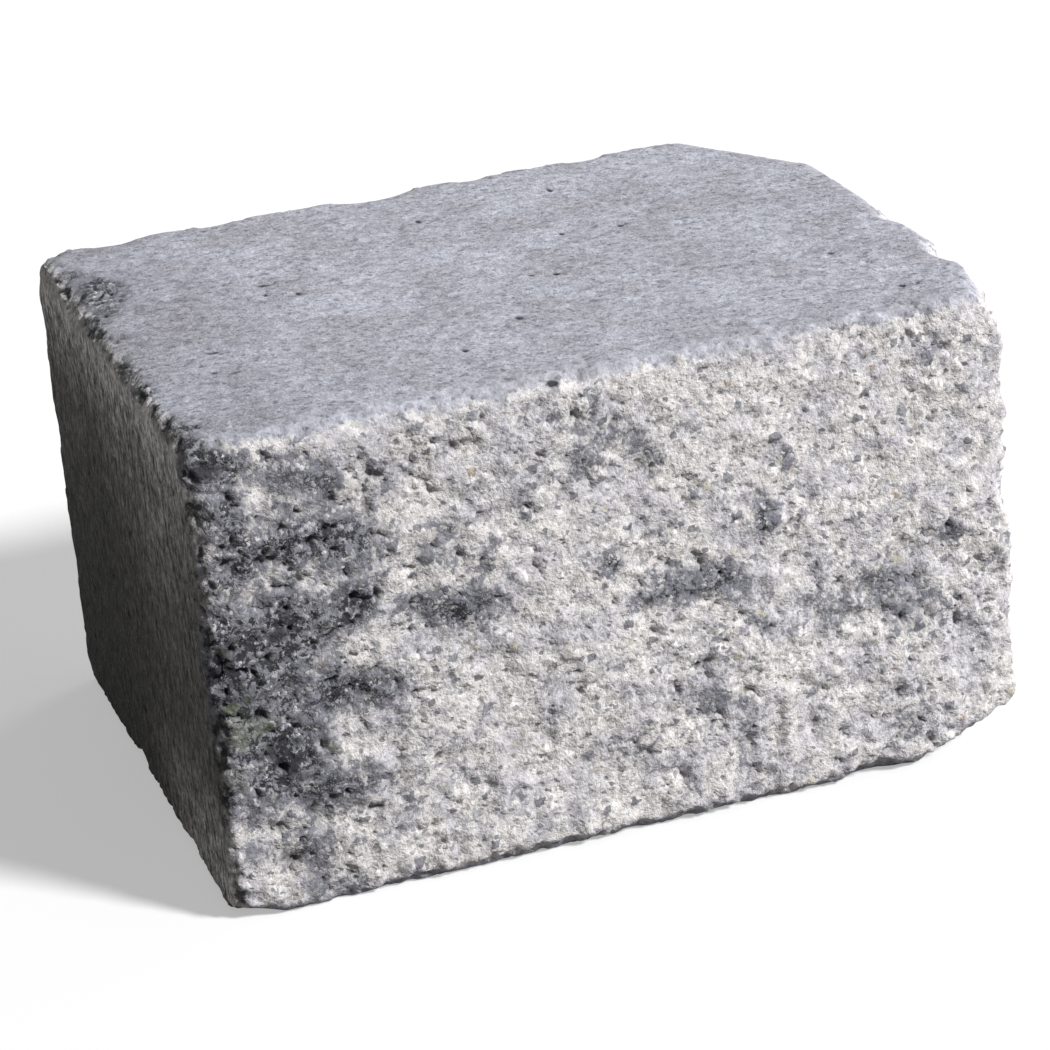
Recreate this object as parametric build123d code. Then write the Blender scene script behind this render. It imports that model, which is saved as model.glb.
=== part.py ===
from build123d import *
import os
from math import exp, floor, sin

# Tumbled concrete garden wall block, in millimetres.
# The top, bottom and left end are moulded flat.
# The front, back and right end are split, so they are rough and swell a little.

LENGTH = 253.0  # moulded left end to the split right end
DEPTH = 192.0  # split front to the split back
HEIGHT = 150.0  # bed to bed

ARRIS_WEAR = 3.2  # how deep the bevel that tumbling leaves cuts into every arris
FACET = 7.0  # size of the broken facets on a split face
FACET_RISE = 1.0  # how far their corners stand out or in
LUMP_RISE = 1.3  # the same for lumps that are a few facets wide
SWELL_SPREAD = 42.0  # width of the broad swells on a split face
OVERRUN = 12.0  # how far the blank runs past each split face

X, Y, Z = Vector(1, 0, 0), Vector(0, 1, 0), Vector(0, 0, 1)

# Each side of the block: the way it faces, and how far that way it lies from
# the left front bottom corner.
SIDES = {
    "left": (X * -1, 0.0),
    "right": (X, LENGTH),
    "front": (Y * -1, 0.0),
    "back": (Y, DEPTH),
    "bottom": (Z * -1, 0.0),
    "top": (Z, HEIGHT),
}

ARRISES = [
    "top front", "top back", "top left", "top right",
    "bottom front", "bottom back", "bottom left", "bottom right",
    "front left", "front right", "back left", "back right",
]

# Broad swells and hollows of each split face: share of the way along it, share
# of the way up it, and how far it stands out.
SWELLS = {
    "front": [(0.14, 0.70, 1.6), (0.52, 0.40, 1.6), (0.74, 0.18, 2.0), (0.36, 0.05, 1.4), (0.70, 0.72, -1.5)],
    "back": [(0.22, 0.72, 3.4), (0.62, 0.62, 2.2), (0.45, 1.00, -1.4), (0.88, 0.30, -2.4)],
    "right": [(0.60, 0.45, 3.0), (0.34, 0.72, 4.2), (0.00, 1.00, -5.0), (0.08, 0.58, -3.2), (0.05, 0.15, -1.0)],
}

# Corners that tumbling has knocked off, and how far each break reaches along
# the length, the depth and the height.
CORNER_BREAKS = {
    "left front bottom": (22.0, 13.0, 8.0),
    "right front bottom": (40.0, 30.0, 18.0),
    "right front top": (15.0, 32.0, 15.0),
    "left front top": (8.0, 8.0, 9.0),
    "left back top": (14.0, 12.0, 16.0),
    "left back bottom": (12.0, 12.0, 10.0),
    "right back top": (33.0, 54.0, 46.0),
    "right back bottom": (16.0, 20.0, 18.0),
}

# Spalls along the arrises: the arris, the share of the way along it, and the
# radius and depth of the hollow.
SPALLS = [
    ("top back", 0.10, 16.0, 5.5),
    ("top back", 0.235, 12.0, 4.5),
    ("top back", 0.45, 26.0, 6.5),
    ("top back", 0.585, 11.0, 4.5),
    ("top back", 0.74, 13.0, 4.5),
    ("front right", 0.585, 13.0, 6.5),
    ("top front", 0.46, 22.0, 3.6),
    ("top right", 0.22, 28.0, 6.0),
    ("top right", 0.43, 20.0, 5.0),
    ("top left", 0.33, 15.0, 3.4),
    ("top left", 0.74, 24.0, 4.6),
    ("bottom front", 0.49, 14.0, 3.4),
    ("bottom front", 0.80, 19.0, 4.6),
    ("bottom left", 0.26, 14.0, 4.0),
    ("bottom left", 0.60, 18.0, 5.0),
    ("back left", 0.28, 13.0, 4.2),
    ("back left", 0.60, 12.0, 4.6),
    ("back left", 0.84, 11.0, 4.6),
    ("bottom back", 0.35, 16.0, 4.6),
    ("bottom back", 0.68, 14.0, 4.4),
    ("bottom right", 0.55, 18.0, 5.0),
    ("back right", 0.30, 14.0, 4.6),
]


def meeting_point(sides):
    """Where these sides of the block would meet if they were flat."""
    return sum((SIDES[side][0] * SIDES[side][1] for side in sides), Vector())


def scatter(i, j, seed):
    """A repeatable number from -1 to 1 for each corner of a grid."""
    scattered = sin(i * 12.9898 + j * 78.233 + seed * 37.719) * 43758.5453
    return 2 * (scattered - floor(scattered)) - 1


def lump(i, j, seed):
    """A smoother number from -1 to 1, blended over three grid steps."""
    column, row = i // 3, j // 3
    u, v = i / 3 - column, j / 3 - row
    near = scatter(column, row, seed) * (1 - u) + scatter(column + 1, row, seed) * u
    far = scatter(column, row + 1, seed) * (1 - u) + scatter(column + 1, row + 1, seed) * u
    return near * (1 - v) + far * v


def relief(side, width, i, j):
    """How far a split face stands out at one corner of its facets."""
    u, v = i * FACET, j * FACET
    seed = len(side)
    rise = FACET_RISE * scatter(i, j, seed) + LUMP_RISE * lump(i, j, seed + 1)
    for share_u, share_v, height in SWELLS[side]:
        away = (u - share_u * width) ** 2 + (v - share_v * HEIGHT) ** 2
        rise += height * exp(-away / SWELL_SPREAD**2)
    return rise


def flat(points):
    """A flat face with these corners."""
    return Face(Polyline(*points, close=True))


def split_cutter(side):
    """All that lies outside a split face, behind a skin of flat facets."""
    facing, at = SIDES[side]
    along, width = (Y, DEPTH) if side == "right" else (X, LENGTH)
    past = int(OVERRUN / FACET) + 1
    columns = range(-past, int(width / FACET) + past + 2)
    rows = range(-past, int(HEIGHT / FACET) + past + 2)
    base = meeting_point([side])
    grid = [
        [base + along * (i * FACET) + Z * (j * FACET) + facing * relief(side, width, i, j) for i in columns]
        for j in rows
    ]
    faces = []
    for j, (low, high) in enumerate(zip(grid, grid[1:])):
        for i in range(len(low) - 1):
            a, b, c, d = low[i], low[i + 1], high[i + 1], high[i]
            leaning = (i + j) % 2
            faces += [flat([a, b, c]), flat([a, c, d])] if leaning else [flat([a, b, d]), flat([b, c, d])]
    corners = [grid[0][0], grid[0][-1], grid[-1][-1], grid[-1][0]]
    outer = [p + facing * (2 * OVERRUN - facing.dot(p - base)) for p in corners]
    rims = [grid[0], [row[-1] for row in grid], grid[-1][::-1], [row[0] for row in grid][::-1]]
    for rim, start, end in zip(rims, outer, outer[1:] + outer[:1]):
        faces.append(flat([*rim, end, start]))
    faces.append(flat(outer))
    return Solid(Shell(faces))


def arris_cutter(arris):
    """The slab outside a bevel along one arris."""
    sides = arris.split()
    out = sum((SIDES[s][0] for s in sides), Vector()).normalized()
    size = 2 * (LENGTH + OVERRUN)
    plane = Plane(origin=meeting_point(sides) - out * (ARRIS_WEAR / 2**0.5), z_dir=out)
    return plane * Box(size, size, OVERRUN, align=(Align.CENTER, Align.CENTER, Align.MIN))


def corner_cutter(corner, reach):
    """The wedge outside a flat break across one corner."""
    sides = corner.split()
    ways = [SIDES[s][0] for s in sides]
    normal = sum((way * (1 / length) for way, length in zip(ways, reach)), Vector())
    plane = Plane(origin=meeting_point(sides) - ways[0] * reach[0], z_dir=normal)
    size = 2 * max(reach) + 2 * OVERRUN
    return plane * Box(size, size, size, align=(Align.CENTER, Align.CENTER, Align.MIN))


def spall_cutter(arris, share, radius, depth):
    """A ball that scoops a spall of this depth out of an arris."""
    sides = arris.split()
    out = sum((SIDES[s][0] for s in sides), Vector())
    run = next(way * size for way, size in ((X, LENGTH), (Y, DEPTH), (Z, HEIGHT)) if way.dot(out) == 0)
    centre = meeting_point(sides) + run * share + out.normalized() * (radius - depth)
    return Pos(*centre) * Sphere(radius)


def moulded_blank():
    """The block as moulded, before it is split to size."""
    return Pos(0, -OVERRUN, 0) * Box(LENGTH + OVERRUN, DEPTH + 2 * OVERRUN, HEIGHT, align=Align.MIN)


block = moulded_blank()
for arris in ARRISES:
    block -= arris_cutter(arris)
for corner, reach in CORNER_BREAKS.items():
    block -= corner_cutter(corner, reach)
for spall in SPALLS:
    block -= spall_cutter(*spall)
for side in SWELLS:
    block -= split_cutter(side)

# The origin is the middle of the bottom bed.
extent = block.bounding_box()
block = Pos(-extent.center().X, -extent.center().Y, -extent.min.Z) * block

os.makedirs("parts", exist_ok=True)
export_step(block, "parts/wall_block.step")
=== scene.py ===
import math

import bpy
import numpy as np
from mathutils import Matrix, Vector


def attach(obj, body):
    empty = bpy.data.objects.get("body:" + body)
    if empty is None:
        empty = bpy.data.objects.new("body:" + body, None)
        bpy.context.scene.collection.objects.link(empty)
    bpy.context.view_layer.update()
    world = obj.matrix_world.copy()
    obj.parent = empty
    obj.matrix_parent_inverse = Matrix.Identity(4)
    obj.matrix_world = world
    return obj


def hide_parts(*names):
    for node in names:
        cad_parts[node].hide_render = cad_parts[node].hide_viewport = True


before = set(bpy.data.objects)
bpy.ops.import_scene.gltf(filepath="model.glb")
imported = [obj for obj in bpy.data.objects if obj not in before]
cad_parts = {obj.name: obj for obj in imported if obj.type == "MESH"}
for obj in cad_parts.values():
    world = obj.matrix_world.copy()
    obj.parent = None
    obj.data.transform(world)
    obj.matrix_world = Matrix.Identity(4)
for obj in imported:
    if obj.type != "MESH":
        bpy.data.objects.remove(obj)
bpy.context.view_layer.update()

# The nominal front left bottom corner of the block, in metres, and the block's
# size. Places on the block are written in millimetres from that corner.
CORNER = Vector((-0.129358, -0.09655, 0.0))
LENGTH, DEPTH, HEIGHT = 253.0, 192.0, 150.0

# The block's mesh: the size of its cells in metres, how often it is smoothed
# and how many triangles it keeps.
VOXEL = 0.0009
SMOOTHINGS = 11
TRIANGLES = 196000

# Crushed stones: their size in millimetres, and the share of cells that hold one.
COARSE_STONES = (8.5, 0.16)
MEDIUM_STONES = (4.6, 0.40)
FINE_STONES = (2.6, 0.38)

# How far each form stands out of a split face, in millimetres, and how much
# that grows inside a cloud of pigment.
BROAD_WAVE = 0.8
FLUTES = 2.6
LUMPS, LUMPS_IN_CLOUD = 3.6, 1.4
CRUMB_GAPS = -0.9
COARSE_RISE, MEDIUM_RISE = 0.8, 0.6
HOLES, HOLES_IN_CLOUD = -0.8, -1.8
SPLIT_LEVEL = 0.7

# The same for the moulded skin, and for the arrises with bites out of them.
SKIN_WAVE, SKIN_GRAIN = 0.6, 0.7
SKIN_PITS = -0.9
SKIN_HOLES_IN_CLOUD = -3.0
ARRIS_LEVEL, ARRIS_BITES = 0.7, -2.1

# The flutes run upright on the lower part of a split face and fade out between
# these heights.
FLUTES_END, FLUTES_FULL = 78.0, 48.0

# Colours of the split faces.
GREY_MORTAR = (0.62, 0.598, 0.632)
PALE_MORTAR = (0.785, 0.75, 0.737)
DARK_SAND = (0.28, 0.285, 0.31)
PIGMENT = (0.165, 0.168, 0.196)
# Near black: pigment with painted shadow in its crevices.
CREVICE_SHADOW_AND_PIGMENT = (0.032, 0.032, 0.038)
# Near black: painted shade in the hollows of the split faces.
HOLLOW_SHADE = (0.05, 0.05, 0.055)
GREEN = (0.145, 0.165, 0.075)

# The colours of single stones, from the commonest greys to a rare tan, each with
# the random number from which it is used.
STONE_COLOURS = [
    (0.0, (0.15, 0.157, 0.18)),
    (0.30, (0.23, 0.24, 0.27)),
    (0.52, (0.38, 0.385, 0.41)),
    (0.66, (0.62, 0.60, 0.57)),
    (0.78, (0.86, 0.84, 0.81)),
    (0.94, (0.62, 0.58, 0.47)),
    (0.988, (0.50, 0.41, 0.34)),
]

# Colours of the moulded skin, of the moulded end, of what lies in them and of painted shade.
SKIN_GREY = (0.366, 0.362, 0.403)
SKIN_BLUE = (0.436, 0.446, 0.506)
END_GREY = (0.215, 0.206, 0.199)
SKIN_PIGMENT = (0.15, 0.155, 0.18)
# Near black: pigment with painted shadow in its crevices.
SKIN_CREVICE_SHADOW_AND_PIGMENT = (0.025, 0.025, 0.03)
# Painted shade in the hollows of the skin.
SKIN_HOLLOW_SHADE = (0.06, 0.06, 0.07)
# Painted shade inside the pits.
PIT_SHADE = (0.03, 0.03, 0.035)
# Near black: dirt and painted shade in the bites of the arrises.
ARRIS_DIRT_AND_SHADE = (0.03, 0.031, 0.030)

# Where charcoal pigment and dirt darken the split front: place along the
# length, height, half width, half height and strength.
CLOUDS = [
    (3, 143, 6, 6, 1.3), (10, 143, 9, 6, 1.0), (9, 128, 6, 6, 1.0), (9, 112, 9, 11, 0.9),
    (24, 117, 11, 9, 0.75), (40, 115, 11, 10, 0.85), (26, 137, 12, 8, 0.65), (41, 133, 10, 8, 0.6),
    (44, 94, 6, 6, 1.2), (28, 85, 12, 9, 0.8), (12, 90, 13, 9, 1.0), (25, 96, 10, 7, 0.9),
    (4, 80, 6, 15, 1.0), (12, 72, 11, 9, 1.0), (40, 68, 16, 8, 0.95), (10, 50, 11, 8, 0.9),
    (21, 46, 8, 7, 1.1), (35, 38, 18, 9, 0.85), (5, 35, 8, 8, 0.8), (20, 58, 14, 9, 0.9),
    (54, 62, 12, 9, 0.35), (50, 105, 7, 10, 0.4), (24, 19, 9, 11, 0.9), (8, 21, 9, 6, 0.6),
    (24, 6, 16, 5, 0.45), (50, 22, 13, 9, 0.5), (75, 85, 14, 8, 1.05), (60, 91, 7, 4, 0.7),
    (74, 112, 7, 5, 0.75), (65, 105, 6, 6, 0.5), (84, 101, 15, 8, 0.5), (70, 138, 16, 8, 0.35),
    (102, 136, 14, 8, 0.4), (96, 115, 5, 8, 0.6), (66, 46, 16, 12, 0.33), (136, 98, 9, 8, 0.6),
    (60, 130, 8, 8, 0.4), (120, 132, 10, 10, 0.55), (138, 123, 11, 9, 0.6), (113, 121, 8, 6, 0.5),
    (122, 90, 5, 5, 0.9), (141, 78, 14, 8, 1.0), (159, 77, 9, 6, 0.65), (170, 94, 5, 9, 1.0),
    (179, 111, 4, 5, 1.1), (165, 61, 16, 11, 0.45), (190, 62, 11, 12, 0.5), (211, 66, 14, 9, 0.8),
    (221, 52, 21, 8, 0.65), (231, 77, 5, 5, 1.0), (244, 67, 6, 11, 0.5), (225, 135, 7, 6, 0.7),
    (239, 119, 10, 10, 0.5), (217, 116, 8, 7, 0.4), (126, 29, 9, 11, 0.6), (149, 40, 11, 13, 0.65),
    (215, 36, 9, 9, 0.3), (183, 95, 8, 8, 0.4), (55, 118, 9, 8, 0.35), (142, 13, 7, 7, 0.5),
    (164, 12, 8, 9, 0.6), (163, 31, 5, 9, 0.45), (217, 18, 8, 14, 0.6), (88, 24, 10, 6, 0.35),
    (110, 30, 4, 3, 0.8), (195, 25, 9, 8, 0.35), (200, 95, 10, 8, 0.25), (105, 60, 9, 9, 0.35),
]

# Green growth low on the front, next to the moulded end, in the same form.
GROWTH = [
    (6, 68, 8, 13, 0.7), (3, 92, 5, 7, 0.6), (4, 47, 5, 6, 0.7), (14, 60, 6, 6, 0.6),
    (53, 48, 6, 4, 0.6), (32, 51, 7, 4, 0.6),
]

# Dark spots on the top and along its left arris: place along the length and
# the depth, half sizes and strength.
TOP_SPOTS = [
    (8, 120, 8, 7, 0.6), (10, 134, 11, 9, 0.95), (12, 149, 9, 8, 0.85), (6, 163, 7, 6, 0.8),
    (5, 97, 5, 4, 0.9), (2, 84, 3, 5, 0.7), (3, 68, 4, 4, 0.9), (2, 55, 4, 6, 0.9),
    (2, 38, 3, 6, 0.7), (4, 14, 5, 8, 1.0), (2, 2, 8, 4, 1.0), (0, 25, 3, 8, 0.8),
    (3, 113, 4, 6, 0.7), (4, 178, 4, 5, 0.7), (60, 118, 7, 7, 0.25), (120, 156, 9, 7, 0.25),
    (200, 110, 16, 14, 0.2), (150, 30, 14, 6, 0.2),
]

# Small black pits in the top: place along the length and the depth, half sizes.
TOP_PITS = [
    (28, 71, 2.6, 1.3), (24, 54, 1.4, 1.2), (58, 121, 3.2, 1.4), (56, 112, 1.2, 1.6),
    (117, 52, 1.6, 2.4), (119, 155, 1.3, 2.2), (167, 163, 1.2, 3.0), (155, 119, 1.2, 2.4),
    (174, 117, 1.2, 2.2), (140, 83, 1.6, 1.6), (133, 86, 1.3, 1.0), (220, 57, 1.4, 1.4),
    (226, 19, 1.8, 1.5), (231, 19, 1.0, 1.0), (94, 34, 1.2, 2.0), (172, 66, 0.9, 0.8),
    (109, 1, 3.0, 1.2), (65, 108, 1.5, 1.5),
]

# The camera stands beside the moulded end, above it and a little rolled. Its
# place is in metres from the corner, and its angles are in degrees.
CAMERA_PLACE = Vector((-0.18435, -0.87195, 0.49875))
CAMERA_TURN, CAMERA_FALL, CAMERA_ROLL = 17.8818, 23.1578, -4.4932
FOCAL_PIXELS = 3486.5
IMAGE_PIXELS = 1050
SENSOR_MM = 36.0


class Net:
    """Short ways to add nodes to a tree and to link them."""

    def __init__(self, tree):
        self.tree = tree

    def add(self, kind, **settings):
        node = self.tree.nodes.new(kind)
        for key, value in settings.items():
            setattr(node, key, value)
        return node

    def join(self, socket, value):
        """Links a socket to another one, or sets it to a value."""
        if isinstance(value, bpy.types.NodeSocket):
            self.tree.links.new(value, socket)
        else:
            socket.default_value = value

    def math(self, operation, a, b=0.0, c=0.0):
        node = self.add("ShaderNodeMath", operation=operation)
        for socket, value in zip(node.inputs, (a, b, c)):
            self.join(socket, value)
        return node.outputs[0]

    def times(self, a, b):
        return self.math("MULTIPLY", a, b)

    def plus(self, a, b):
        return self.math("ADD", a, b)

    def scaled(self, a, by, onto):
        """The product of a and by, added onto a third value."""
        return self.math("MULTIPLY_ADD", a, by, onto)

    def vector(self, operation, *values, scale=None):
        node = self.add("ShaderNodeVectorMath", operation=operation)
        for socket, value in zip(node.inputs, values):
            self.join(socket, value)
        if scale is not None:
            self.join(node.inputs["Scale"], scale)
        return node.outputs[0]

    def ramp(self, value, low, high, to_low=0.0, to_high=1.0, kind="SMOOTHSTEP"):
        """Maps a value between low and high, eased at both ends."""
        node = self.add("ShaderNodeMapRange", interpolation_type=kind)
        self.join(node.inputs["Value"], value)
        self.join(node.inputs["From Min"], low)
        self.join(node.inputs["From Max"], high)
        self.join(node.inputs["To Min"], to_low)
        self.join(node.inputs["To Max"], to_high)
        return node.outputs["Result"]

    def slope(self, value, low, high, to_low, to_high):
        """The same in a straight line."""
        return self.ramp(value, low, high, to_low, to_high, "LINEAR")

    def noise(self, place, size, detail=2.0, rough=0.5, shift=0.0, output="Fac"):
        node = self.add("ShaderNodeTexNoise", noise_dimensions="3D")
        if shift:
            place = self.vector("ADD", place, (shift, shift * 0.7, -shift * 1.3))
        self.join(node.inputs["Vector"], place)
        node.inputs["Scale"].default_value = 1.0 / size
        node.inputs["Detail"].default_value = detail
        node.inputs["Roughness"].default_value = rough
        return node.outputs[output]

    def swing(self, *noise, shift=0.0):
        """Noise that swings about zero."""
        return self.math("SUBTRACT", self.noise(*noise, shift=shift), 0.5)

    def cells(self, place, size, metric="EUCLIDEAN"):
        node = self.add("ShaderNodeTexVoronoi", voronoi_dimensions="3D", distance=metric)
        self.join(node.inputs["Vector"], place)
        node.inputs["Scale"].default_value = 1.0 / size
        return node

    def split(self, vector):
        node = self.add("ShaderNodeSeparateXYZ")
        self.join(node.inputs[0], vector)
        return node.outputs


# What the relief and the colours share, so that each stone that stands out of
# the surface also has its own colour.

def stones(net, place, kind):
    """Crushed stones: angular cells, of which only a share is stone.

    Gives how much of a stone is here, how far it stands out, and its own
    random numbers.
    """
    size, share = kind
    turned = net.add("ShaderNodeVectorRotate", rotation_type="AXIS_ANGLE")
    net.join(turned.inputs["Vector"], place)
    turned.inputs["Axis"].default_value = (0.4, 0.7, 0.6)
    turned.inputs["Angle"].default_value = 0.8 + size
    longer = net.vector("MULTIPLY", turned.outputs[0], (0.75, 1.6, 1.1))
    warp = net.noise(place, size * 0.45, 1.0, output="Color")
    bent = net.vector("MULTIPLY_ADD", warp, (size * 0.36,) * 3, longer)
    cells = net.cells(bent, size, "MANHATTAN")
    chance = net.split(cells.outputs["Color"])
    radius = net.slope(chance[2], 0.0, 1.0, 0.26, 0.68)
    depth = net.math("SUBTRACT", radius, cells.outputs["Distance"])
    is_stone = net.math("LESS_THAN", chance[0], share)
    inside = net.times(is_stone, net.ramp(depth, 0.0, 0.06))
    return inside, net.times(inside, net.ramp(depth, 0.0, 0.45)), chance


def ragged_of(net, place):
    """The uneven edge that the skin, the clouds of pigment and the growth share."""
    return net.noise(place, 5.0, 3.0, 0.62, shift=61.0)


def roughness_of(net, place, ragged, cloud):
    """0 on the moulded skin and 1 where the block is split or worn.

    It comes from how deep the place lies under the moulded planes.
    """
    x, _, z = net.split(place)
    deep = net.math("MINIMUM", net.math("MINIMUM", x, z), net.math("SUBTRACT", HEIGHT, z))
    deep = net.scaled(cloud, 4.2, deep)
    deep = net.scaled(net.math("SUBTRACT", ragged, 0.5), 12.0, deep)
    return net.ramp(deep, 1.8, 5.0)


# The relief.

def named(net, name, kind="FLOAT"):
    """A value that the mesh keeps for each point."""
    node = net.add("GeometryNodeInputNamedAttribute", data_type=kind)
    node.inputs["Name"].default_value = name
    return node.outputs[0]


def keep(net, geometry, name, value):
    """Keeps a value for each point, for the material to read."""
    node = net.add("GeometryNodeStoreNamedAttribute", data_type="FLOAT", domain="POINT")
    net.join(node.inputs["Geometry"], geometry)
    net.join(node.inputs["Name"], name)
    net.join(node.inputs["Value"], value)
    return node.outputs[0]


def split_rise(net, place, cloud, holes):
    """How far the split surface stands out."""
    broad = net.swing(place, 17.0, 2.0, 0.5)
    lumps = net.swing(place, 6.0, 4.0, 0.66, shift=11.0)
    crumbs = net.cells(place, 3.3).outputs["Distance"]
    upright = net.vector("MULTIPLY", place, (1.0, 1.0, 0.28))
    flutes = net.swing(upright, 7.0, 1.0, 0.5, shift=83.0)
    flutes = net.times(flutes, net.ramp(net.split(place)[2], FLUTES_END, FLUTES_FULL))
    rise = net.scaled(flutes, FLUTES, net.times(broad, BROAD_WAVE))
    rise = net.scaled(lumps, net.scaled(cloud, LUMPS_IN_CLOUD, LUMPS), rise)
    rise = net.scaled(crumbs, CRUMB_GAPS, rise)
    rise = net.scaled(stones(net, place, COARSE_STONES)[1], COARSE_RISE, rise)
    rise = net.scaled(stones(net, place, MEDIUM_STONES)[1], MEDIUM_RISE, rise)
    rise = net.scaled(holes, net.scaled(cloud, HOLES_IN_CLOUD, HOLES), rise)
    return net.plus(rise, SPLIT_LEVEL)


def skin_rise(net, place, cloud, holes):
    """How far the moulded skin stands out."""
    wave = net.swing(place, 22.0, 2.0, 0.5, shift=5.0)
    grain = net.swing(place, 3.0, 3.0, 0.7, shift=51.0)
    cells = net.cells(place, 9.0)
    has_pit = net.math("LESS_THAN", net.split(cells.outputs["Color"])[0], 0.35)
    pit = net.times(has_pit, net.ramp(cells.outputs["Distance"], 0.16, 0.05))
    pit = net.math("MAXIMUM", pit, named(net, "pit"))
    rise = net.scaled(grain, SKIN_GRAIN, net.times(wave, SKIN_WAVE))
    rise = net.scaled(pit, SKIN_PITS, rise)
    return net.scaled(net.times(cloud, holes), SKIN_HOLES_IN_CLOUD, rise)


def relief_tree():
    """The nodes that move each point of the mesh in or out."""
    tree = bpy.data.node_groups.new("block_relief", "GeometryNodeTree")
    for way in ("INPUT", "OUTPUT"):
        tree.interface.new_socket("Geometry", in_out=way, socket_type="NodeSocketGeometry")
    net = Net(tree)
    start = net.add("NodeGroupInput")
    end = net.add("NodeGroupOutput")
    place = named(net, "place_mm", "FLOAT_VECTOR")
    arris = named(net, "arris")
    cloud = named(net, "cloud")
    holes = net.ramp(net.noise(place, 4.5, 3.0, 0.62, shift=37.0), 0.42, 0.33)
    mix = net.add("ShaderNodeMix", data_type="FLOAT")
    net.join(mix.inputs[0], roughness_of(net, place, ragged_of(net, place), cloud))
    net.join(mix.inputs[2], skin_rise(net, place, cloud, holes))
    net.join(mix.inputs[3], split_rise(net, place, cloud, holes))
    surface = mix.outputs[0]

    bites = net.ramp(net.noise(place, 6.0, 3.0, 0.6, shift=71.0), 0.44, 0.64)
    bitten = net.times(arris, net.scaled(bites, ARRIS_BITES, ARRIS_LEVEL))
    rise_in_metres = net.times(net.plus(surface, bitten), 0.001)
    normal = net.add("GeometryNodeInputNormal")
    move = net.add("GeometryNodeSetPosition")
    net.join(move.inputs["Geometry"], start.outputs[0])
    net.join(move.inputs["Offset"], net.vector("SCALE", normal.outputs[0], scale=rise_in_metres))
    geometry = keep(net, move.outputs[0], "rise_mm", surface)
    geometry = keep(net, geometry, "bite", net.times(arris, bites))
    net.join(end.inputs[0], geometry)
    return tree


# The block's mesh.

def bake(block):
    """Applies the object's modifiers to its mesh."""
    graph = bpy.context.evaluated_depsgraph_get()
    made = bpy.data.meshes.new_from_object(block.evaluated_get(graph))
    old = block.data
    block.modifiers.clear()
    block.data = made
    bpy.data.meshes.remove(old)


def even_skin():
    """The CAD solid as a closed skin of small even quads."""
    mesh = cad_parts["wall_block"].data.copy()
    block = bpy.data.objects.new("split_concrete_block", mesh)
    bpy.context.scene.collection.objects.link(block)
    weld = block.modifiers.new("weld", "WELD")
    weld.merge_threshold = 0.00001
    remesh = block.modifiers.new("remesh", "REMESH")
    remesh.mode = "VOXEL"
    remesh.voxel_size = VOXEL
    bake(block)
    smooth = block.modifiers.new("ease", "SMOOTH")
    smooth.factor = 0.5
    smooth.iterations = SMOOTHINGS
    bake(block)
    return block


def store(mesh, name, values):
    """Keeps one number for each point of a mesh."""
    attribute = mesh.attributes.new(name, "FLOAT", "POINT")
    attribute.data.foreach_set("value", np.asarray(values, np.float32))


def store_places(mesh):
    """Keeps where each point is, in millimetres from the corner."""
    flat = np.empty(len(mesh.vertices) * 3, np.float32)
    mesh.vertices.foreach_get("co", flat)
    place = (flat.reshape(-1, 3).astype(float) - np.array(CORNER)) * 1000
    attribute = mesh.attributes.new("place_mm", "FLOAT_VECTOR", "POINT")
    attribute.data.foreach_set("vector", place.astype(np.float32).ravel())
    return place


def spots(first, second, table):
    """Adds up soft oval spots from a table."""
    total = np.zeros(len(first))
    for along, across, half, high, strength in table:
        away = ((first - along) / half) ** 2 + ((second - across) / high) ** 2
        total += strength * np.exp(-away * 0.9)
    return total


def store_marks(mesh, place):
    """Keeps how near an arris each point is, and what the tables put there."""
    x, y, z = place.T
    under_top = HEIGHT - z

    # The split sides swell a little past their nominal planes.
    from_sides = np.abs(np.stack([x, LENGTH + 2 - x, y + 1, DEPTH + 1 - y, z, under_top]))
    second_nearest = np.sort(from_sides, axis=0)[1]
    store(mesh, "arris", np.clip(1 - second_nearest / 6.0, 0, 1))

    front = np.clip(1 - (y + 3) / 16, 0, 1)
    top = np.clip(1 - under_top / 10, 0, 1)
    cloud = np.maximum(front * spots(x, z, CLOUDS), top * spots(x, y, TOP_SPOTS))
    left_arris = np.exp(-((x - 1.5) / 4.0) ** 2) * np.clip(1 - under_top / 9, 0, 1)
    store(mesh, "cloud", np.maximum(cloud, 0.62 * left_arris))

    worn_end = np.clip(1 - np.hypot(x - 1, under_top - 1) / 9, 0, 1)
    store(mesh, "growth", front * spots(x, z, GROWTH) + 0.55 * worn_end)

    pits = np.zeros(len(x))
    for along, across, half, wide in TOP_PITS:
        pit = np.exp(-(((x - along) / half) ** 2 + ((y - across) / wide) ** 2))
        pits = np.maximum(pits, pit)
    store(mesh, "pit", pits * (under_top < 3))


def block_piece():
    block = even_skin()
    store_marks(block.data, store_places(block.data))
    relief = block.modifiers.new("relief", "NODES")
    relief.node_group = relief_tree()
    bake(block)
    thin = block.modifiers.new("thin", "DECIMATE")
    thin.ratio = min(1.0, TRIANGLES / (2 * len(block.data.polygons)))
    bake(block)
    block.data.shade_smooth()
    return block


# The material.

def reading(net, name, kind="Fac"):
    """A value that the relief or the tables left on the mesh."""
    return net.add("ShaderNodeAttribute", attribute_name=name).outputs[kind]


def blend(net, factor, a, b, kind="MIX"):
    node = net.add("ShaderNodeMix", data_type="RGBA", blend_type=kind)
    net.join(node.inputs[0], factor)
    for socket, colour in ((node.inputs[6], a), (node.inputs[7], b)):
        net.join(socket, (*colour, 1) if isinstance(colour, tuple) else colour)
    return node.outputs[2]


def shade(net, colour, tone):
    """Makes a colour lighter or darker."""
    grey = net.add("ShaderNodeCombineColor")
    for socket in grey.inputs:
        net.join(socket, tone)
    return blend(net, 1.0, colour, grey.outputs[0], "MULTIPLY")


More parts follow.
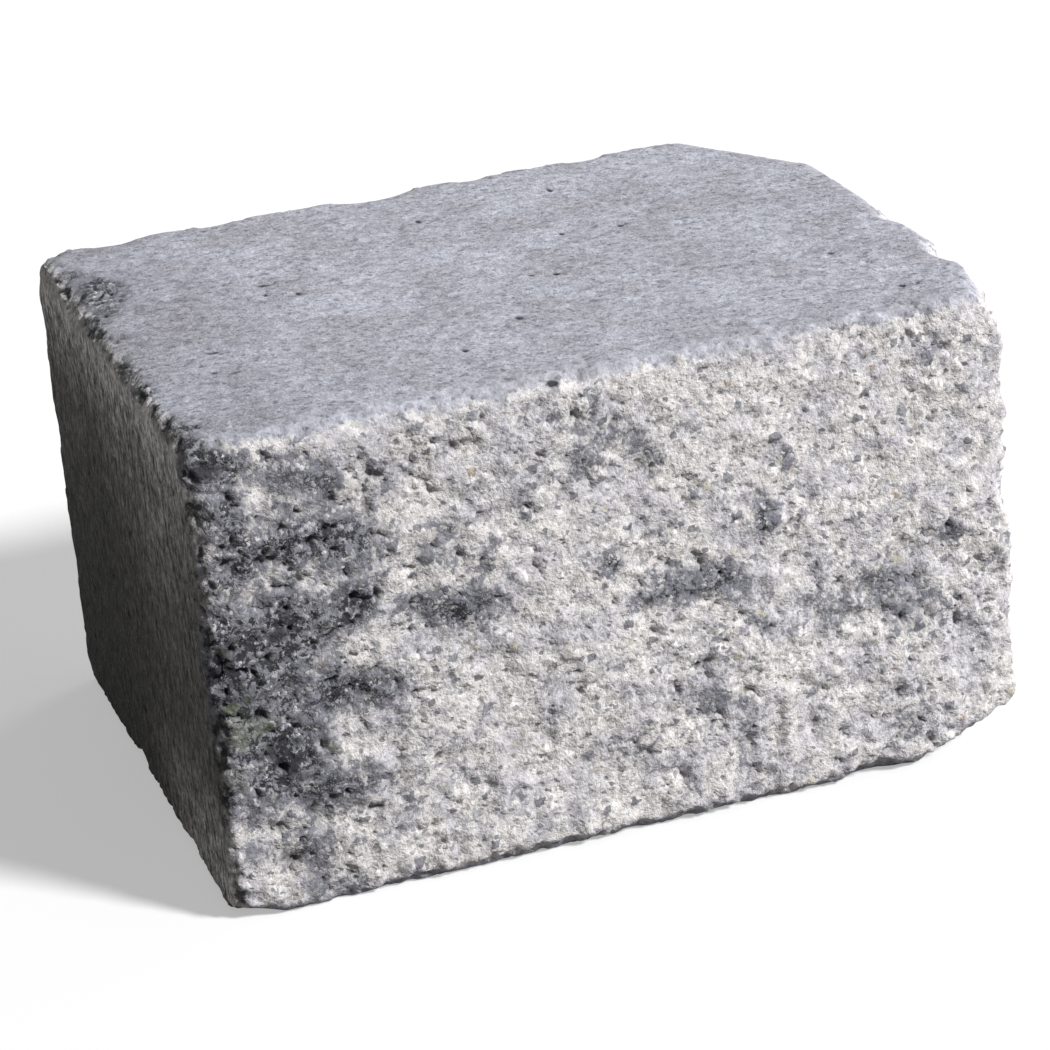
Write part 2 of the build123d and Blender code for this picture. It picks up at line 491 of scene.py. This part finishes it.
def palette(net, value, stops):
    node = net.add("ShaderNodeValToRGB")
    node.color_ramp.interpolation = "CONSTANT"
    while len(node.color_ramp.elements) < len(stops):
        node.color_ramp.elements.new(1.0)
    for element, (at, colour) in zip(node.color_ramp.elements, stops):
        element.position = at
        element.color = (*colour, 1)
    net.join(node.inputs[0], value)
    return node.outputs[0]


def split_colour(net, place, crumb, grains, ragged, cloud, deepest_shadow_and_pigment):
    """The split faces: sand, cement, crushed stone, charcoal pigment and painted shadow in
    crevices.
    """
    patch = net.noise(place, 11.0, 2.0, 0.55, shift=91.0)
    chance = net.split(grains.outputs["Color"])
    colour = blend(net, net.ramp(patch, 0.34, 0.62), GREY_MORTAR, PALE_MORTAR)
    is_dark = net.math("LESS_THAN", chance[0], 0.09)
    colour = blend(net, net.times(is_dark, 0.6), colour, DARK_SAND)
    for kind in (FINE_STONES, MEDIUM_STONES):
        inside, _, own = stones(net, place, kind)
        colour = blend(net, net.times(inside, 0.8), colour, palette(net, own[1], STONE_COLOURS))
    cover = net.ramp(chance[1], 0.76, 0.90, 0.90, 0.45)
    colour = blend(net, net.times(cloud, cover), colour, PIGMENT)

    # Crumbs differ more inside the clouds, and painted light makes the right a little paler.
    darkest = net.scaled(cloud, -0.35, 0.80)
    palest = net.scaled(cloud, 0.45, 1.17)
    tone = net.slope(crumb, 0.28, 0.72, darkest, palest)
    tone = net.times(tone, net.slope(chance[2], 0.0, 1.0, 0.88, 1.12))
    tone = net.times(tone, net.slope(net.split(place)[0], 50.0, 250.0, 0.95, 1.06))
    colour = shade(net, colour, tone)

    # Black crevices: dark pigment with painted shadow in them, most of all inside the clouds.
    crevice_shadow_and_pigment = net.ramp(net.scaled(cloud, -0.05, net.plus(crumb, ragged)), 0.96, 0.85)
    crevice_shadow_and_pigment = net.times(crevice_shadow_and_pigment, net.slope(cloud, 0.0, 1.0, 0.22, 0.92))
    return blend(net, net.math("MAXIMUM", crevice_shadow_and_pigment, deepest_shadow_and_pigment), colour, CREVICE_SHADOW_AND_PIGMENT)


def drag_marks(net, place, end):
    """Upright streaks that the mould leaves on the end, and faint ones on the beds."""
    x, y, z = net.split(place)
    along = net.add("ShaderNodeCombineXYZ")
    net.join(along.inputs[0], net.times(net.math("MAXIMUM", x, 8.0), 0.8))
    net.join(along.inputs[1], y)
    net.join(along.inputs[2], net.times(z, 0.45))
    dragged = net.swing(along.outputs[0], 2.6, 3.0, 0.8, shift=53.0)
    under_arris = net.ramp(z, 148.0, 136.0)
    strength = net.slope(net.times(end, under_arris), 0.0, 1.0, 1.7, 6.0)
    return net.math("MAXIMUM", net.scaled(dragged, strength, 1.0), 0.12)


def painted_end_shading(net, place, mottle):
    """Painted light on the end under the top arris and at the front foot, and painted shade to the
    back.
    """
    _, y, z = net.split(place)
    uneven = net.math("SUBTRACT", mottle, 0.5)
    # Painted light that grows towards the top of the end.
    end_light_and_shade = net.ramp(net.scaled(uneven, 80.0, z), 60.0, 150.0, 0.60, 1.8)
    wander = net.times(uneven, 90.0)
    # Painted shade towards the back and below the top arris.
    towards_back = net.ramp(net.plus(y, wander), 30.0, 130.0)
    under_arris = net.ramp(net.plus(z, wander), 150.0, 105.0)
    back = net.times(towards_back, under_arris)
    end_light_and_shade = net.times(end_light_and_shade, net.scaled(back, -0.5, 1.0))
    # Painted light at the front foot and under the top arris.
    foot = net.times(net.ramp(y, 100.0, 30.0), net.ramp(z, 48.0, 12.0))
    painted_foot_and_top_light = net.scaled(foot, 2.6, net.ramp(z, 126.0, 148.0, 1.0, 1.9))
    return net.times(end_light_and_shade, painted_foot_and_top_light)


def skin_colour(net, place, crumb, grains, ragged, cloud):
    """The moulded faces: a cement skin, bluish on the beds and duller on the end, with painted
    light and shade.
    """
    x = net.split(place)[0]
    mottle = net.noise(place, 26.0, 3.0, 0.6, shift=41.0)
    end = net.ramp(x, 5.0, 1.5)
    colour = blend(net, net.ramp(mottle, 0.35, 0.65), SKIN_GREY, SKIN_BLUE)
    colour = shade(net, colour, net.ramp(x, 18.0, 82.0, 0.88, 1.06))
    colour = blend(net, end, colour, END_GREY)

    tone = drag_marks(net, place, end)
    # The end gets its painted light and shade.
    end_light_and_shade = painted_end_shading(net, place, mottle)
    tone = net.times(tone, net.slope(end, 0.0, 1.0, 1.0, end_light_and_shade))
    darkest = net.scaled(end, -0.40, 0.72)
    palest = net.scaled(end, 0.60, 1.30)
    tone = net.times(tone, net.slope(crumb, 0.28, 0.72, darkest, palest))
    is_speck = net.math("LESS_THAN", net.split(grains.outputs["Color"])[0], 0.07)
    tone = net.times(tone, net.scaled(is_speck, -0.36, 1.0))
    tone = net.times(tone, net.slope(ragged, 0.34, 0.66, 0.92, 1.08))
    colour = shade(net, colour, tone)

    colour = blend(net, net.times(cloud, 0.65), colour, SKIN_PIGMENT)
    # Black crevices inside the clouds: dark pigment with painted shadow in them.
    crevice_shadow_and_pigment = net.times(net.ramp(net.plus(crumb, ragged), 1.03, 0.90), cloud)
    colour = blend(net, net.times(crevice_shadow_and_pigment, 0.9), colour, SKIN_CREVICE_SHADOW_AND_PIGMENT)
    # The pits in the top are painted black, as painted shade in them.
    pit = net.ramp(reading(net, "pit"), 0.3, 0.75)
    colour = blend(net, net.times(pit, 0.95), colour, PIT_SHADE)
    # Painted shade where the skin sits low.
    hollow_shade = net.ramp(reading(net, "rise_mm"), -0.45, -0.95)
    return blend(net, net.times(hollow_shade, 0.8), colour, SKIN_HOLLOW_SHADE)


def concrete():
    material = bpy.data.materials.new("split_concrete")
    material.use_nodes = True
    tree = material.node_tree
    tree.nodes.clear()
    net = Net(tree)
    out = net.add("ShaderNodeOutputMaterial")
    shader = net.add("ShaderNodeBsdfPrincipled")
    net.join(out.inputs["Surface"], shader.outputs[0])
    shader.inputs["Specular IOR Level"].default_value = 0.1
    shader.inputs["Roughness"].default_value = 0.88

    place = reading(net, "place_mm", "Vector")
    x, y, _ = net.split(place)
    marked_cloud = reading(net, "cloud")
    crumb = net.noise(place, 2.2, 3.0, 0.8, shift=3.0)
    grains = net.cells(place, 1.1)
    ragged = ragged_of(net, place)
    rough = roughness_of(net, place, ragged, marked_cloud)
    uneven = net.math("SUBTRACT", net.scaled(crumb, 1.5, net.times(ragged, 1.7)), 1.6)

    # The front's clouds have their places, and the other sides' are scattered.
    scattered = net.ramp(net.noise(place, 26.0, 2.0, 0.5, shift=17.0), 0.48, 0.80)
    scattered = net.times(net.times(scattered, net.ramp(y, 4.0, 20.0)), rough)
    pigment = net.plus(net.math("MAXIMUM", marked_cloud, scattered), uneven)
    cloud = net.ramp(pigment, 0.34, 0.66)
    deepest_shadow_and_pigment = net.ramp(net.scaled(crumb, -1.6, pigment), 0.25, 0.75, 0.0, 0.85)

    split = split_colour(net, place, crumb, grains, ragged, cloud, deepest_shadow_and_pigment)
    growth = net.ramp(net.plus(reading(net, "growth"), uneven), 0.35, 0.95)
    split = blend(net, net.times(growth, 0.5), split, GREEN)
    # Painted shade where the split relief sits lowest.
    hollow_shade = net.ramp(reading(net, "rise_mm"), 0.2, -2.2)
    split = blend(net, net.times(hollow_shade, 0.72), split, HOLLOW_SHADE)
    skin = skin_colour(net, place, crumb, grains, ragged, cloud)
    colour = blend(net, rough, skin, split)

    # Near-black dirt and painted shade sit in the bites of the arrises at the moulded end.
    dirt_and_shade = net.ramp(net.plus(reading(net, "bite"), net.times(crumb, -0.8)), -0.22, 0.10)
    dirt_and_shade = net.times(dirt_and_shade, net.ramp(x, 15.0, 6.0, 0.0, 0.85))
    net.join(shader.inputs["Base Color"], blend(net, dirt_and_shade, colour, ARRIS_DIRT_AND_SHADE))

    # Bump for the grain that is finer than the mesh.
    height = net.scaled(grains.outputs["Distance"], -0.3, net.times(crumb, 1.5))
    height = net.times(height, net.ramp(rough, 0.0, 1.0, 0.65, 1.0))
    bump = net.add("ShaderNodeBump")
    bump.inputs["Strength"].default_value = 0.8
    bump.inputs["Distance"].default_value = 0.0007
    net.join(bump.inputs["Height"], height)
    net.join(shader.inputs["Normal"], bump.outputs[0])
    return material


block = block_piece()
block.data.materials.clear()
block.data.materials.append(concrete())
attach(block, "root")
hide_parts("wall_block")


# Camera, lights and background.

def make_camera():
    data = bpy.data.cameras.new("camera")
    camera = bpy.data.objects.new("camera", data)
    bpy.context.scene.collection.objects.link(camera)
    turn, fall, roll = (math.radians(v) for v in (CAMERA_TURN, CAMERA_FALL, CAMERA_ROLL))
    flat = math.cos(fall)
    forward = Vector((math.sin(turn) * flat, math.cos(turn) * flat, -math.sin(fall)))
    level = forward.cross(Vector((0, 0, 1))).normalized()
    rise = level.cross(forward)
    right = level * math.cos(roll) + rise * math.sin(roll)
    up = rise * math.cos(roll) - level * math.sin(roll)
    turned = Matrix((right, up, -forward)).transposed()
    camera.matrix_world = Matrix.Translation(CORNER + CAMERA_PLACE) @ turned.to_4x4()
    data.sensor_width = SENSOR_MM
    data.lens = FOCAL_PIXELS / IMAGE_PIXELS * SENSOR_MM
    data.clip_start, data.clip_end = 0.05, 50.0
    bpy.context.scene.camera = camera


def sun(name, towards, strength, softness):
    """A distant lamp: the way to it, its strength and its width in degrees."""
    data = bpy.data.lights.new(name, "SUN")
    data.energy = strength
    data.angle = math.radians(softness)
    lamp = bpy.data.objects.new(name, data)
    bpy.context.scene.collection.objects.link(lamp)
    lamp.rotation_mode = "QUATERNION"
    lamp.rotation_quaternion = Vector(towards).to_track_quat("Z", "Y")


def seen_by_eye(net):
    """1 for rays from the camera, straight or by way of gloss or glass."""
    path = net.add("ShaderNodeLightPath").outputs
    by_way = net.math("MAXIMUM", path["Is Glossy Ray"], path["Is Transmission Ray"])
    return net.math("MAXIMUM", path["Is Camera Ray"], by_way)


def make_floor():
    """A floor that looks pale but throws little light back at the block."""
    mesh = bpy.data.meshes.new("floor")
    mesh.from_pydata([(-8, -8, 0), (8, -8, 0), (8, 8, 0), (-8, 8, 0)], [], [(0, 1, 2, 3)])
    floor = bpy.data.objects.new("floor", mesh)
    bpy.context.scene.collection.objects.link(floor)
    material = bpy.data.materials.new("pale_floor")
    material.use_nodes = True
    tree = material.node_tree
    tree.nodes.clear()
    net = Net(tree)
    out = net.add("ShaderNodeOutputMaterial")
    diffuse = net.add("ShaderNodeBsdfDiffuse")
    glow = net.add("ShaderNodeEmission")
    both = net.add("ShaderNodeAddShader")
    seen = seen_by_eye(net)
    net.join(diffuse.inputs["Color"], blend(net, seen, (0.2, 0.2, 0.2), (0.62, 0.62, 0.62)))
    net.join(glow.inputs["Strength"], net.times(seen, 0.4))
    net.join(both.inputs[0], diffuse.outputs[0])
    net.join(both.inputs[1], glow.outputs[0])
    net.join(out.inputs["Surface"], both.outputs[0])
    mesh.materials.append(material)


def make_world():
    """Weak even light all round, behind which the camera sees white."""
    world = bpy.data.worlds.new("studio")
    bpy.context.scene.world = world
    world.use_nodes = True
    tree = world.node_tree
    tree.nodes.clear()
    net = Net(tree)
    out = net.add("ShaderNodeOutputWorld")
    background = net.add("ShaderNodeBackground")
    net.join(background.inputs["Color"], (1, 1, 1, 1))
    net.join(background.inputs["Strength"], net.slope(seen_by_eye(net), 0.0, 1.0, 0.15, 1.0))
    net.join(out.inputs["Surface"], background.outputs[0])


make_camera()
make_floor()
make_world()
sun("key", (0.52, -0.58, 0.63), 4.1, 10.0)
sun("fill", (0.80, 0.55, 0.22), 1.0, 20.0)
bpy.context.scene.view_settings.view_transform = "Standard"
